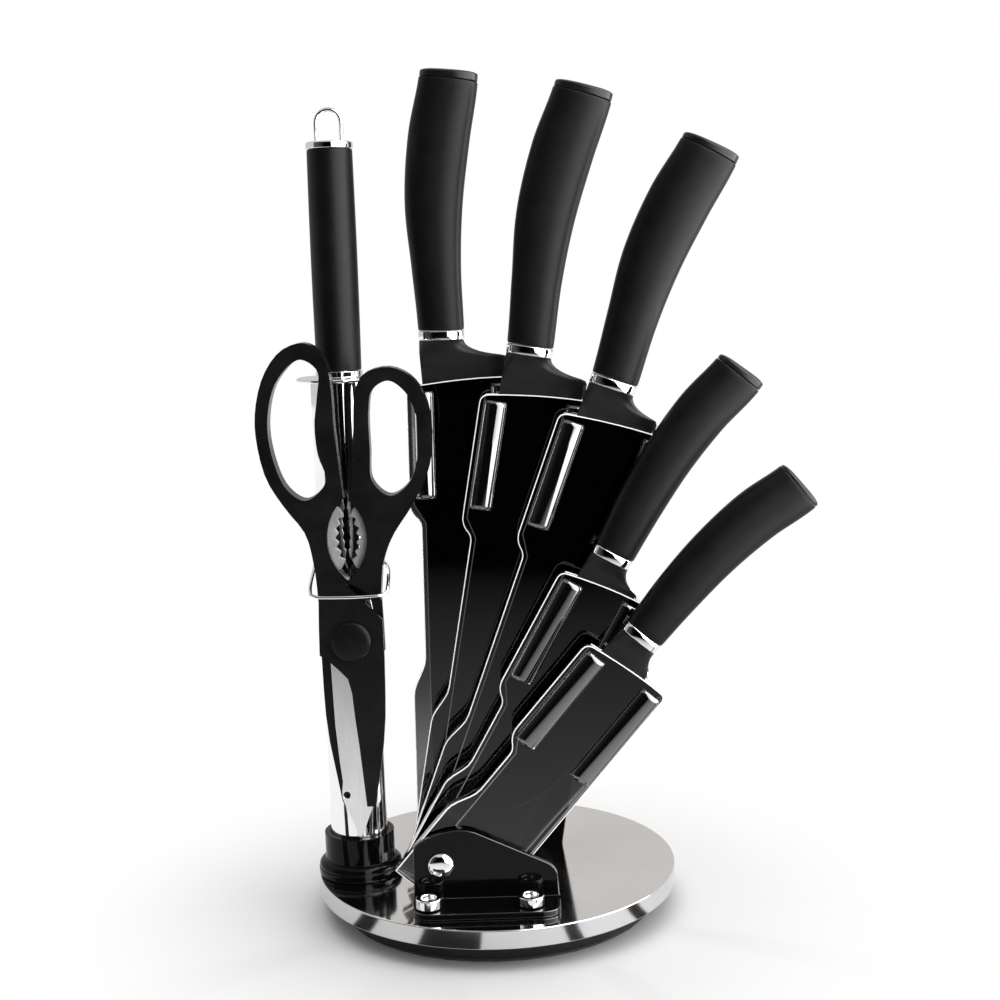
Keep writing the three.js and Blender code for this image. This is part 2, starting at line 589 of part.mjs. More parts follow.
const ringOuter = {
  left: [
    [-0.9, 66], [-2.3, 81], [-3.6, 96], [-4, 112], [-5.6, 124.5], [-10.5, 131.6], [-17, 133.8], [-26, 130.2],
    [-33.5, 120], [-37.6, 106], [-38, 92], [-34.6, 75], [-27, 61.5], [-18.4, 49.5], [-15.3, 36], [-14.3, 26],
  ],
  right: [
    [2.6, 66], [3.9, 81], [4.8, 95], [6, 110.8], [10.5, 119.6], [21.5, 122.3], [31.5, 117.5], [37.6, 107],
    [39.4, 92], [37.2, 76], [30, 61.5], [20.8, 48], [15.9, 36], [14.6, 26],
  ],
};
const ringInner = {
  left: [
    [-17.4, 64.3], [-25.5, 69.5], [-31, 83], [-32.6, 100], [-28, 117], [-17.5, 126.6], [-9.8, 121.5],
    [-10.4, 110], [-12, 98], [-11.2, 85], [-8.2, 72.5],
  ],
  right: [[20, 65.4], [29, 71.5], [33.4, 88], [32.4, 102], [28, 111.5], [21, 116.3], [14, 112.5], [12, 104],
    [11.9, 86], [12.4, 72]],
};

// The handle of one half: side -1 has the left ring and is in front, side 1 is behind.
function handleOutline(side) {
  const points = side < 0 ? ringOuter.left : ringOuter.right;
  const curve = new THREE.SplineCurve(points.map(([x, z]) => new THREE.Vector2(x, z)));
  const sampled = curve.getPoints(44).map((p) => [p.x, p.y]);
  return outline([[side * 0.4, LENS_MIDDLE], [side * 0.4, 63], ...sampled, [side * 13.9, 18.4], [side * 0.4, 26.6]]);
}

// The thin cover that crosses to the other side, over the pivot and down the blade's back.
function coverOutline(side) {
  const across = (x) => -side * x;
  return outline([
    [across(-13.8), 27.6], [across(-13.9), 18], [across(-14.3), 6], [across(-14.5), -6], [across(-10.3), -9],
    [across(-6.2), -13], [across(-2.3), -17.2], [across(-0.7), -24], [across(0.2), -35.5], [across(1.5), -48],
    [across(2.6), -61.2], [across(3.9), -77], [across(7.9), -77], [across(10.5), -61.2], [across(12.6), -48],
    [across(13.8), -35.5], [across(14.2), -25], [across(14.5), -8], [across(14.4), 9.4], [across(-1.2), 26],
  ]);
}

function bladePlate(side) {
  const across = (x) => -side * x;
  return outline([
    [across(-9), 18], [across(-11.4), 4], [across(-10.8), -5], [across(-4), -12], [across(-1.6), -22],
    [across(-1), -60], [across(-0.2), -92.6], [across(1.4), -91], [across(3.9), -84], [across(6.4), -78],
    [across(7.6), -75], [across(7.7), -71], [across(7.2), -66.5], [across(8.2), -57], [across(9.5), -39.6],
    [across(10.3), -10], [across(10.6), 8], [across(2), 18],
  ]);
}

function lens(grow) {
  const offset = LENS_RADIUS - LENS_HALF;
  const angle = Math.asin(LENS_HEIGHT / LENS_RADIUS);
  const shape = new THREE.Shape();
  shape.absarc(-offset, LENS_MIDDLE, LENS_RADIUS + grow, -angle, angle, false);
  shape.absarc(offset, LENS_MIDDLE, LENS_RADIUS + grow, Math.PI - angle, Math.PI + angle, false);
  return plateY(shape, FACE - 1, SCISSORS_BACK + 1, 12);
}

// A toothed steel strip on one side of the nutcracker opening.
function jawOutline(side, grow) {
  const offset = LENS_RADIUS - LENS_HALF;
  const REACH = 0.62; // half of the strip's angle
  const TEETH = 6;
  const outer = [];
  const inner = [];
  for (let i = 0; i <= 2 * TEETH; i += 1) {
    const angle = -REACH + (2 * REACH * i) / (2 * TEETH);
    const point = (radius) => [
      side * (radius * Math.cos(angle) - offset), LENS_MIDDLE + radius * Math.sin(angle),
    ];
    outer.push(point(LENS_RADIUS + 2 + grow));
    const bite = i === 0 || i === 2 * TEETH ? 1.6 : 3 + (i % 2) * 1.8;
    inner.push(point(LENS_RADIUS - bite - grow));
  }
  return outline([...outer, ...inner.reverse()]);
}

function buildScissors() {
  const scissors = new THREE.Group();
  scissors.position.set(SCISSORS_X, 0, SCISSORS_Z);
  const pinHole = rodY(PIN_RADIUS + GAP, FACE - 1, SCISSORS_BACK + 1);
  for (const side of [-1, 1]) {
    const name = side < 0 ? "front" : "rear";
    const inFront = side < 0;
    const plateFront = inFront ? SHEAR - 0.15 - STEEL_PLATE : SHEAR + 0.15;
    const coverFront = inFront ? FACE : plateFront + STEEL_PLATE + GAP;
    const coverBack = inFront ? plateFront - GAP : SCISSORS_BACK;
    const notch = rodY(1.6, plateFront - 1, plateFront + STEEL_PLATE + 1, side * -5.6, -73, 16);
    const blade = cut(plateY(bladePlate(side), plateFront, plateFront + STEEL_PLATE), pinHole, notch);
    const opening = plateY(
      closedCurve(side < 0 ? ringInner.left : ringInner.right, 56), FACE - 1, SCISSORS_BACK + 1,
    );
    const jaw = plateY(jawOutline(side, 0), SHEAR - 1.1, SHEAR + 1.1);
    const jawSlot = plateY(jawOutline(side, GAP), SHEAR - 1.1 - GAP, SHEAR + 1.1 + GAP);
    let handle = join(
      plateY(handleOutline(side), FACE, SCISSORS_BACK),
      plateY(coverOutline(side), coverFront, coverBack),
    );
    handle = cut(handle, opening, lens(0), jawSlot, pinHole);
    if (!inFront) {
      handle = cut(handle, rodY(5, SCISSORS_BACK - 2, SCISSORS_BACK + 1));
    }
    add(scissors, `scissors_${name}_handle`, handle, BLACK_MATT());
    add(scissors, `scissors_${name}_blade`, blade, STEEL());
    add(scissors, `scissors_${name}_jaw`, jaw, STEEL());
  }
  const pin = join(
    rodY(PIN_RADIUS, FACE - 1.2, SCISSORS_BACK - 0.6), rodY(4.6, SCISSORS_BACK - 1.7, SCISSORS_BACK - 0.5),
  );
  add(scissors, "scissors_pivot_pin", pin, STEEL());
  const cap = cut(rodY(9, FACE - 2.2, FACE - GAP, 0, 0, 32), rodY(PIN_RADIUS + GAP, FACE - 1.5, FACE));
  add(scissors, "scissors_pivot_cap", cap, BLACK_MATT());
  model.add(scissors);
}

// The wire that the scissors hang in: round the back of the tube, forward and down to a front bar.
function buildWireLoop() {
  const WIRE = 0.8;
  const HALF = 17.3;
  const BAR_Y = FACE - 4;
  const BACK_Z = SCISSORS_Z + 32;
  const BAR_Z = SCISSORS_Z + 21.6;
  const hug = TUBE_RADIUS + GAP + WIRE;
  const points = [];
  for (const angle of [84, 60, 30, 6]) {
    const a = THREE.MathUtils.degToRad(angle);
    points.push(new THREE.Vector3(TUBE_X + hug * Math.cos(a), TUBE_Y + hug * Math.sin(a), BACK_Z));
  }
  const sides = (side) => [
    new THREE.Vector3(SCISSORS_X + side * (HALF - 0.5), SCISSORS_BACK + 3.5, BACK_Z - 1.2),
    new THREE.Vector3(SCISSORS_X + side * HALF, BAR_Y + 3.6, BAR_Z + 3),
    new THREE.Vector3(SCISSORS_X + side * (HALF - 0.5), BAR_Y + 0.9, BAR_Z + 0.7),
    new THREE.Vector3(SCISSORS_X + side * (HALF - 2.6), BAR_Y, BAR_Z),
  ];
  points.push(...sides(1), ...sides(-1).reverse());
  for (const angle of [174, 150, 120, 96]) {
    const a = THREE.MathUtils.degToRad(angle);
    points.push(new THREE.Vector3(TUBE_X + hug * Math.cos(a), TUBE_Y + hug * Math.sin(a), BACK_Z));
  }
  const path = new THREE.CatmullRomCurve3(points, false, "centripetal");
  add(model, "scissors_wire_loop", wire(path, WIRE, 50), CHROME());
}

buildFoot();
buildDisc();
buildBrackets();
buildFixings();
buildFan();
buildTube();
buildSteel();
buildScissors();
buildWireLoop();

export default model;
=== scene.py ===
import json
import math

import bmesh
import bpy
from mathutils import Matrix, Vector


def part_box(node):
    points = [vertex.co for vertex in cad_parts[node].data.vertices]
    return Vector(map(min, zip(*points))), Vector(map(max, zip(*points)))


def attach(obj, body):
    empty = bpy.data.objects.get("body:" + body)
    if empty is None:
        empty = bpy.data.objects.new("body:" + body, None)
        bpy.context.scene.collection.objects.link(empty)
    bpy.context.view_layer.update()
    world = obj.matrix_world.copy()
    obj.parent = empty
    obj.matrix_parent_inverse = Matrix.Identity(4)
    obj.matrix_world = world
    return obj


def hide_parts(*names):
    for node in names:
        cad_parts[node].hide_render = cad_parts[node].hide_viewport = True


# Looks for the fan-shaped knife stand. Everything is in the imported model's frame, in metres: +Z is up
# and the front faces -Y. Outlines are written in millimetres, and MM turns them into metres.

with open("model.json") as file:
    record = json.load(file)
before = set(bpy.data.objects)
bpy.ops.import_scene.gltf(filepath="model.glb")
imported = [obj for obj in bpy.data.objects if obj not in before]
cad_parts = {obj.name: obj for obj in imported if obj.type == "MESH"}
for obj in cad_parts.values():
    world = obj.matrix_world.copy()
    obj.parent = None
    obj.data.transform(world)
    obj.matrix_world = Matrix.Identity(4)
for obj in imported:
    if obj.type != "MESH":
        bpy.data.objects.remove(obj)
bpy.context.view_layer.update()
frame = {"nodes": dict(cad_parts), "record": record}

MM = 0.001
TAU = 2 * math.pi
QUARTER = math.pi / 2
ROUND = 128  # sides of a turned piece and of the floor
GAP = 0.3  # between pieces that touch on the real object, in millimetres
SHARP = 35.0  # degrees between two faces that make a sharp edge

SLOT_OF = {part["node"]: part["material_slot"] for part in frame["record"]["subparts"]}
BODY_OF = {node: body for body, nodes in frame["record"]["behaviour"]["bodies"].items() for node in nodes}


# ---- materials ----------------------------------------------------------------------------------
def grey(value):
    return (value, value, value, 1)


class Look:
    """A Principled material. Its sockets are set by name, with _ for a space, and varied by noise."""

    NOISE_LOW, NOISE_HIGH = 0.3, 0.7  # nearly all of a noise texture's values lie between these

    def __init__(self, name, **sockets):
        self.material = bpy.data.materials.new(name)
        self.material.use_nodes = True
        self.nodes = self.material.node_tree.nodes
        self.links = self.material.node_tree.links
        self.shader = self.nodes["Principled BSDF"]
        self.place = self.nodes.new("ShaderNodeTexCoord").outputs["Object"]
        for socket, value in sockets.items():
            self.shader.inputs[socket.replace("_", " ")].default_value = value

    def split(self, vector):
        """The vector's X, Y and Z."""
        node = self.nodes.new("ShaderNodeSeparateXYZ")
        self.links.new(vector, node.inputs[0])
        return node.outputs

    def join(self, x, y):
        node = self.nodes.new("ShaderNodeCombineXYZ")
        self.links.new(x, node.inputs["X"])
        self.links.new(y, node.inputs["Y"])
        return node.outputs[0]

    def vector_math(self, operation, vector, other=(0, 0, 0)):
        node = self.nodes.new("ShaderNodeVectorMath")
        node.operation = operation
        node.inputs[1].default_value = other
        self.links.new(vector, node.inputs[0])
        return node.outputs

    def stretched(self, scale):
        mapping = self.nodes.new("ShaderNodeMapping")
        mapping.inputs["Scale"].default_value = scale
        self.links.new(self.place, mapping.inputs["Vector"])
        return mapping.outputs["Vector"]

    def noise(self, scale, detail=2.0, vector=None):
        node = self.nodes.new("ShaderNodeTexNoise")
        node.inputs["Scale"].default_value = scale
        node.inputs["Detail"].default_value = detail
        self.links.new(vector or self.place, node.inputs["Vector"])
        return node.outputs["Fac"]

    def ramp(self, value, start, end, first, last, smooth=False):
        """Goes from first to last while value goes from start to end."""
        node = self.nodes.new("ShaderNodeMapRange")
        node.interpolation_type = "SMOOTHSTEP" if smooth else "LINEAR"
        node.inputs["From Min"].default_value = start
        node.inputs["From Max"].default_value = end
        node.inputs["To Min"].default_value = first
        node.inputs["To Max"].default_value = last
        self.links.new(value, node.inputs["Value"])
        return node.outputs["Result"]

    def spread(self, noise, low, high):
        return self.ramp(noise, self.NOISE_LOW, self.NOISE_HIGH, low, high)

    def tint(self, noise, dark, light):
        node = self.nodes.new("ShaderNodeMix")
        node.data_type = "RGBA"
        node.inputs["A"].default_value = dark
        node.inputs["B"].default_value = light
        self.links.new(self.spread(noise, 0, 1), node.inputs["Factor"])
        self.links.new(node.outputs["Result"], self.shader.inputs["Base Color"])

    def rough(self, noise, low, high):
        self.links.new(self.spread(noise, low, high), self.shader.inputs["Roughness"])

    def bump(self, noise, depth, strength):
        """Depth is in millimetres."""
        node = self.nodes.new("ShaderNodeBump")
        node.inputs["Distance"].default_value = depth * MM
        node.inputs["Strength"].default_value = strength
        self.links.new(noise, node.inputs["Height"])
        self.links.new(node.outputs["Normal"], self.shader.inputs["Normal"])


def soft_touch():
    look = Look("soft_touch", Specular_IOR_Level=0.17)
    dark, light = (0.0022, 0.0021, 0.0020, 1), (0.0045, 0.0043, 0.0041, 1)
    look.tint(look.noise(scale=55, detail=3), dark, light)
    look.rough(look.noise(scale=130, detail=4), low=0.37, high=0.43)
    look.bump(look.noise(scale=5200, detail=3), depth=0.035, strength=0.5)
    return look.material


def moulded_black(name, roughness, gloss=0.3):
    look = Look(name, Specular_IOR_Level=gloss)
    look.tint(look.noise(scale=70), dark=grey(0.005), light=grey(0.010))
    look.rough(look.noise(scale=180, detail=3), low=roughness - 0.03, high=roughness + 0.05)
    look.bump(look.noise(scale=2600, detail=3), depth=0.03, strength=0.35)
    return look.material


def gloss_black():
    look = Look("gloss_black", Base_Color=grey(0.003), Specular_IOR_Level=0.14)
    look.rough(look.noise(scale=420, detail=4), low=0.04, high=0.09)
    look.bump(look.noise(scale=160, detail=1), depth=0.015, strength=0.3)
    return look.material


def glide_white():
    return Look("glide_white", Base_Color=(0.85, 0.84, 0.8, 1), Roughness=0.4).material


def foam():
    look = Look("foam", Roughness=0.95)
    look.tint(look.noise(scale=900, detail=4), dark=grey(0.02), light=grey(0.05))
    look.bump(look.noise(scale=1800, detail=4), depth=0.15, strength=0.8)
    return look.material


def chrome():
    look = Look("chrome", Metallic=1)
    look.tint(look.noise(scale=90), dark=(0.86, 0.865, 0.87, 1), light=(0.93, 0.93, 0.935, 1))
    look.rough(look.noise(scale=300, detail=4), low=0.035, high=0.09)
    look.bump(look.noise(scale=140, detail=1), depth=0.01, strength=0.25)
    return look.material


def ground_steel(name, grain):
    """Steel with a fine grain. An uneven grain makes grinding lines along the axis of its least number."""
    look = Look(name, Metallic=1)
    lines = look.noise(scale=1, detail=3, vector=look.stretched(grain))
    look.tint(look.noise(scale=60, detail=3), dark=(0.76, 0.76, 0.75, 1), light=(0.85, 0.85, 0.845, 1))
    look.rough(lines, low=0.14, high=0.26)
    look.bump(lines, depth=0.012, strength=0.5)
    return look.material


def jaw_steel():
    look = Look("jaw_steel", Metallic=1)
    look.tint(look.noise(scale=90, detail=3), dark=grey(0.40), light=grey(0.56))
    look.rough(look.noise(scale=600, detail=3), low=0.42, high=0.56)
    look.bump(look.noise(scale=1500, detail=3), depth=0.01, strength=0.3)
    return look.material


def turned_stainless(name, dark, light, polish):
    """Bright stainless, brushed in circles about the disc's axis."""
    look = Look(name, Metallic=1)
    place = look.split(look.place)
    radius = look.vector_math("LENGTH", look.join(place["X"], place["Y"]))["Value"]
    rings = look.noise(scale=5200, detail=4, vector=look.join(radius, place["Z"]))
    look.tint(look.noise(scale=14, detail=3), dark, light)
    look.rough(rings, low=polish, high=polish + 0.08)
    look.bump(rings, depth=0.0015, strength=0.3)
    return look.material


def blade_coating():
    look = Look("blade_coating", Specular_IOR_Level=0.28)
    look.tint(look.noise(scale=45, detail=4), dark=grey(0.005), light=(0.009, 0.0088, 0.0086, 1))
    look.rough(look.noise(scale=240, detail=4), low=0.32, high=0.40)
    look.bump(look.noise(scale=3800, detail=3), depth=0.012, strength=0.3)
    return look.material


def smoked_acrylic():
    """Smoked sheet that lets light through. Nearly black in the upper part, a little clearer towards the
    foot: painted shade above and painted light below.
    """
    PAINTED_LIGHT_HEIGHT, PAINTED_SHADE_HEIGHT = 0.05, 0.11
    PAINTED_LIGHT_TINT, PAINTED_SHADE_TINT = 0.14, 0.02
    look = Look("smoked_acrylic", Transmission_Weight=1.0, IOR=1.49)
    height = look.split(look.place)["Z"]
    # painted light and shade: the sheet's tint is clearer near the foot and darker higher up
    shade = look.ramp(height, PAINTED_LIGHT_HEIGHT, PAINTED_SHADE_HEIGHT, PAINTED_LIGHT_TINT, PAINTED_SHADE_TINT, smooth=True)
    look.links.new(shade, look.shader.inputs["Base Color"])
    look.rough(look.noise(scale=350, detail=4), low=0.01, high=0.03)
    look.bump(look.noise(scale=50, detail=1), depth=0.02, strength=0.1)
    return look.material


def acrylic_edge():
    """The polished edge of a sheet of acrylic, painted near white and made to glow: a painted highlight."""
    # painted highlight: a near-white tint and a glow stand in for the light on the edge
    look = Look("acrylic_edge", Emission_Color=grey(1), Emission_Strength=0.35)
    look.tint(look.noise(scale=160, detail=3), dark=grey(0.70), light=grey(1.0))
    look.rough(look.noise(scale=500, detail=3), low=0.08, high=0.2)
    return look.material


def acrylic_rib():
    """Dense black acrylic, glossier than the sheet so that the ribs stand out from it."""
    look = Look("acrylic_rib", Base_Color=grey(0.004), IOR=2.2,
                Coat_Weight=1.0, Coat_IOR=1.7, Coat_Roughness=0.02)
    look.rough(look.noise(scale=350, detail=4), low=0.02, high=0.05)
    look.bump(look.noise(scale=50, detail=1), depth=0.02, strength=0.15)
    return look.material


SLOT_LOOKS = {
    "foot_black": moulded_black("foot_black", roughness=0.45),
    "pad_foam": foam(),
    "glide_white": glide_white(),
    "core_black": moulded_black("core_black", roughness=0.5),
    "brushed_stainless": turned_stainless(
        "brushed_stainless", dark=(0.80, 0.775, 0.76, 1), light=(0.90, 0.88, 0.865, 1), polish=0.05),
    "bracket_black": gloss_black(),
    "chrome": chrome(),
    "plain_steel": ground_steel("plain_steel", grain=(2600, 900, 60)),
    "zinc_steel": ground_steel("zinc_steel", grain=(700, 700, 700)),
    "matt_black": moulded_black("matt_black", roughness=0.24, gloss=0.12),
    "smoked_acrylic": smoked_acrylic(),
    "blade_coating": blade_coating(),
    "soft_touch": soft_touch(),
    "cap_black": moulded_black("cap_black", roughness=0.25),
}

# Looks for a part of a piece, or for one piece of several that share a slot.
# painted highlight: the glowing look for the edges of the acrylic sheets
ACRYLIC_EDGE_GLOW = acrylic_edge()
ACRYLIC_RIB = acrylic_rib()
GROUND_EDGE = ground_steel("ground_edge", grain=(900, 900, 900))
JAW_STEEL = jaw_steel()
BRACKET_EDGE = moulded_black("plate_edge", roughness=0.1, gloss=1.0)
RIM_STEEL = turned_stainless("rim_stainless", (0.60, 0.60, 0.61, 1), (0.68, 0.68, 0.69, 1), polish=0.10)


# ---- camera, light and floor ----------------------------------------------------------------------
def make_camera():
    """Looks slightly down from in front, and is turned slightly about its own axis."""
    PLACE = (0.0066, -0.7389, 0.3006)
    DOWN, ROLL = math.radians(8.23), math.radians(-1.75)
    SENSOR_WIDTH, FOCAL_LENGTH = 36, 57.6
    ahead = Vector((0, math.cos(DOWN), -math.sin(DOWN)))
    level_right = Vector((1, 0, 0))
    level_up = Vector((0, math.sin(DOWN), math.cos(DOWN)))
    right = math.cos(ROLL) * level_right + math.sin(ROLL) * level_up
    up = -math.sin(ROLL) * level_right + math.cos(ROLL) * level_up
    data = bpy.data.cameras.new("camera")
    data.sensor_width = SENSOR_WIDTH
    data.lens = FOCAL_LENGTH
    camera = bpy.data.objects.new("camera", data)
    bpy.context.scene.collection.objects.link(camera)
    turn = Matrix((right, up, -ahead)).transposed().to_4x4()
    camera.matrix_world = Matrix.Translation(PLACE) @ turn
    bpy.context.scene.camera = camera


def make_sky():
    """White where the camera sees it, and a softer, slightly warm light on the object."""
    SEEN, SEEN_STRENGTH = grey(1), 1.0
    LIGHT, LIGHT_STRENGTH = (1, 0.985, 0.97, 1), 0.62
    world = bpy.data.worlds.new("studio")
    bpy.context.scene.world = world
    world.use_nodes = True
    nodes, links = world.node_tree.nodes, world.node_tree.links
    seen = nodes["Background"]
    seen.inputs["Color"].default_value = SEEN
    seen.inputs["Strength"].default_value = SEEN_STRENGTH
    lighting = nodes.new("ShaderNodeBackground")
    lighting.inputs["Color"].default_value = LIGHT
    lighting.inputs["Strength"].default_value = LIGHT_STRENGTH
    path = nodes.new("ShaderNodeLightPath")
    mix = nodes.new("ShaderNodeMixShader")
    links.new(path.outputs["Is Camera Ray"], mix.inputs["Fac"])
    links.new(lighting.outputs[0], mix.inputs[1])
    links.new(seen.outputs[0], mix.inputs[2])
    links.new(mix.outputs[0], nodes["World Output"].inputs["Surface"])


def softbox(name, place, size, power):
    """Lights the object's surfaces but shows in no reflection: the cards below do that."""
    TARGET = (0, 0, 0.2)
    data = bpy.data.lights.new(name, "AREA")
    data.shape = "RECTANGLE"
    data.size, data.size_y = size
    data.energy = power
    light = bpy.data.objects.new(name, data)
    bpy.context.scene.collection.objects.link(light)
    light.location = place
    light.rotation_euler = (Vector(TARGET) - Vector(place)).to_track_quat("-Z", "Y").to_euler()
    light.visible_glossy = False


def card(name, corners, start, end, near, far):
    """A flat card that only shows in reflections. Its glow runs from near, at start, to far, at end."""
    mesh_data = bpy.data.meshes.new(name)
    mesh_data.from_pydata(corners, [], [tuple(range(len(corners)))])
    piece = bpy.data.objects.new(name, mesh_data)
    bpy.context.scene.collection.objects.link(piece)
    piece.visible_camera = False
    piece.visible_diffuse = False
    piece.visible_shadow = False
    piece.visible_transmission = False
    look = Look(name, Base_Color=grey(0), Roughness=1, Specular_IOR_Level=0, Emission_Color=grey(1))
    span = Vector(end) - Vector(start)
    offset = look.vector_math("SUBTRACT", look.place, start)["Vector"]
    along = look.vector_math("DOT_PRODUCT", offset, span / span.length_squared)["Value"]
    look.links.new(look.ramp(along, 0, 1, near, far), look.shader.inputs["Emission Strength"])
    piece.data.materials.append(look.material)


def standing_card(name, start, end, height, near, far):
    """A card that stands on the floor from start to end."""
    low = [(*start, 0), (*end, 0)]
    high = [(*end, height), (*start, height)]
    card(name, low + high, (*start, 0), (*end, 0), near, far)


def lying_card(name, outline, start, end, near, far):
    """A card just above the floor."""
    LIFT = 0.001
    corners = [(*corner, LIFT) for corner in outline]
    card(name, corners, (*start, LIFT), (*end, LIFT), near, far)


def rim_streak(name, middle_degrees, half_degrees):
    """A dark strip on the floor in front of the rim, which the rim shows as a dark band."""
    NEAR, FAR, HEIGHT = 0.093, 0.24, 0.0006
    GLOW = 0.02
    corners = []
    for radius, side in ((NEAR, -1), (FAR, -1), (FAR, 1), (NEAR, 1)):
        angle = math.radians(middle_degrees + side * half_degrees)
        corners.append((radius * math.sin(angle), -radius * math.cos(angle), HEIGHT))
    card(name, corners, corners[0], corners[1], GLOW, GLOW)


def make_cards():
    """Bright cards make the highlights. Dark ones, the flags, keep the front faces black."""
    standing_card("right_card", (0.38, -1.6), (1.25, 0.3), height=2.6, near=2.5, far=9.0)
    standing_card("front_flag", (-1.3, -1.65), (1.3, -1.65), height=1.6, near=0.0, far=0.0)
    standing_card("left_flag", (-0.5, -1.2), (-1.2, -0.3), height=1.3, near=0.0, far=0.1)
    NEAR_Y, FAR_Y, WIDE = -0.13, -1.75, 1.3
    flag = [(-WIDE, NEAR_Y), (0.23, NEAR_Y), (0.5, FAR_Y), (-WIDE, FAR_Y)]
    lying_card("floor_flag", flag, (0, NEAR_Y), (0, FAR_Y / 2), near=0.95, far=0.0)
    glow = [(0.22, -0.22), (0.52, FAR_Y), (1.4, FAR_Y), (1.4, 0.2), (0.45, 0)]
    lying_card("floor_glow", glow, (0.22, 0), (0.9, 0), near=4.5, far=8.0)
    streaks = [(-57, 5), (-18.5, 12), (29.5, 3), (61, 3.5)]  # middle and half width, in degrees
    for number, (middle_degrees, half_degrees) in enumerate(streaks):
        rim_streak(f"rim_streak_{number}", middle_degrees, half_degrees)


def floor_white():
    """White paper near the object, which brightens into the white backdrop further out."""
    FADE_START, FADE_END = 0.07, 0.21
    look = Look("floor_white", Base_Color=grey(0.62), Roughness=0.7)
    radius = look.vector_math("LENGTH", look.place)["Value"]
    glow = look.nodes.new("ShaderNodeEmission")
    glow.inputs["Strength"].default_value = 1.0
    mix = look.nodes.new("ShaderNodeMixShader")
    look.links.new(look.ramp(radius, FADE_START, FADE_END, 0, 1, smooth=True), mix.inputs["Fac"])
    look.links.new(look.shader.outputs[0], mix.inputs[1])
    look.links.new(glow.outputs[0], mix.inputs[2])
    look.links.new(mix.outputs[0], look.nodes["Material Output"].inputs["Surface"])
    return look.material


def make_floor():
    RADIUS = 3
    bpy.ops.mesh.primitive_circle_add(vertices=ROUND, radius=RADIUS, fill_type="NGON")
    floor = bpy.context.object
    floor.name = "floor"
    floor.data.materials.append(floor_white())


def make_studio():
    make_sky()
    softbox("key_right", place=(1.0, -0.3, 0.6), size=(1.1, 1.3), power=10)
    softbox("top", place=(0, 0.15, 1.5), size=(1.8, 1.8), power=20)
    make_cards()
    make_floor()
    bpy.context.scene.view_settings.view_transform = "Standard"


# ---- making pieces --------------------------------------------------------------------------------
def piece_from(shape, node, sharp=SHARP):
    """The piece that stands for a node: the shape, with the node's material and on its body."""
    mesh_data = bpy.data.meshes.new(f"{node}_look")
    shape.to_mesh(mesh_data)
    shape.free()
    piece = bpy.data.objects.new(f"{node}_look", mesh_data)
    bpy.context.scene.collection.objects.link(piece)
    piece.data.materials.append(SLOT_LOOKS[SLOT_OF[node]])
    piece.data.polygons.foreach_set("use_smooth", [True] * len(piece.data.polygons))
    piece.data.set_sharp_from_angle(angle=math.radians(sharp))
    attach(piece, BODY_OF[node])
    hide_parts(node)
    return piece


def bevel(piece, width, segments, sharp=SHARP):
    """Rounds the sharp edges. The width is in millimetres."""
    modifier = piece.modifiers.new("edges", "BEVEL")
    modifier.width = width * MM
    modifier.segments = segments
    modifier.limit_method = "ANGLE"
    modifier.angle_limit = math.radians(sharp)
    modifier.harden_normals = True


def add_look(piece, look):
    """Adds a look to a piece and returns its number there."""
    piece.data.materials.append(look)
    return len(piece.data.materials) - 1


def shine_edges(piece, look):
    """Gives the rounded edges their own look, and their full width everywhere."""
    modifier = piece.modifiers["edges"]
    modifier.material = add_look(piece, look)
    modifier.use_clamp_overlap = False


def bridge(shape, low, high):
    """Faces between two rings. A ring of a single point is joined to the other with triangles."""
    faces = []
    sides = max(len(low), len(high))
    for i in range(sides):
        j = (i + 1) % sides
        corners = [low[i % len(low)], low[j % len(low)], high[j % len(high)], high[i % len(high)]]
        faces.append(shape.faces.new(list(dict.fromkeys(corners))))
    return faces


def refined(node, width, segments=2, sharp=SHARP):
    """The CAD solid with its flat faces whole again and its edges rounded."""
    SAME_PLACE = 1e-6
    FLAT = math.radians(0.5)
    shape = bmesh.new()
    shape.from_mesh(frame["nodes"][node].data)
    bmesh.ops.remove_doubles(shape, verts=shape.verts, dist=SAME_PLACE)
    bmesh.ops.dissolve_limit(shape, angle_limit=FLAT, verts=shape.verts, edges=shape.edges)
    bmesh.ops.recalc_face_normals(shape, faces=shape.faces)
    piece = piece_from(shape, node, sharp)
    bevel(piece, width, segments, sharp)
    return piece


def turned(node, profile, center, width, axis="Z"):
    """A closed profile of (radius, height) in millimetres, turned about a line through center."""
    SEGMENTS = 3
    shape = bmesh.new()
    rings = []
    for radius, height in profile:
        turns = [TAU * i / ROUND for i in range(ROUND if radius else 1)]
        rings.append([
            shape.verts.new((radius * MM * math.cos(turn), radius * MM * math.sin(turn), height * MM))
            for turn in turns
        ])
    for low, high in zip(rings, rings[1:]):
        bridge(shape, low, high)
    if len(rings[0]) > 1:
        bridge(shape, rings[-1], rings[0])
    bmesh.ops.recalc_face_normals(shape, faces=shape.faces)
    if axis == "Y":
        bmesh.ops.rotate(shape, verts=shape.verts, matrix=Matrix.Rotation(QUARTER, 3, "X"))
    bmesh.ops.translate(shape, verts=shape.verts, vec=center)
    piece = piece_from(shape, node)
    bevel(piece, width, SEGMENTS)
    return piece


def skinned(node, rings, sharp):
    """A skin over rings of points, closed at both ends."""
    shape = bmesh.new()
    loops = [[shape.verts.new(point) for point in ring] for ring in rings]
    for low, high in zip(loops, loops[1:]):
        bridge(shape, low, high)
    shape.faces.new(loops[0])
    shape.faces.new(loops[-1])
    bmesh.ops.recalc_face_normals(shape, faces=shape.faces)
    return piece_from(shape, node, sharp)


def middle_of(node):
    low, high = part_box(node)
    return (low + high) / 2


def size_of(node):
    """A node's width, depth and height, in millimetres."""
    low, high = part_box(node)
    return [(end - start) / MM for start, end in zip(low, high)]


def foot_of(node):
    """The middle of a node's underside."""
    middle = middle_of(node)
    return (middle.x, middle.y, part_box(node)[0].z)


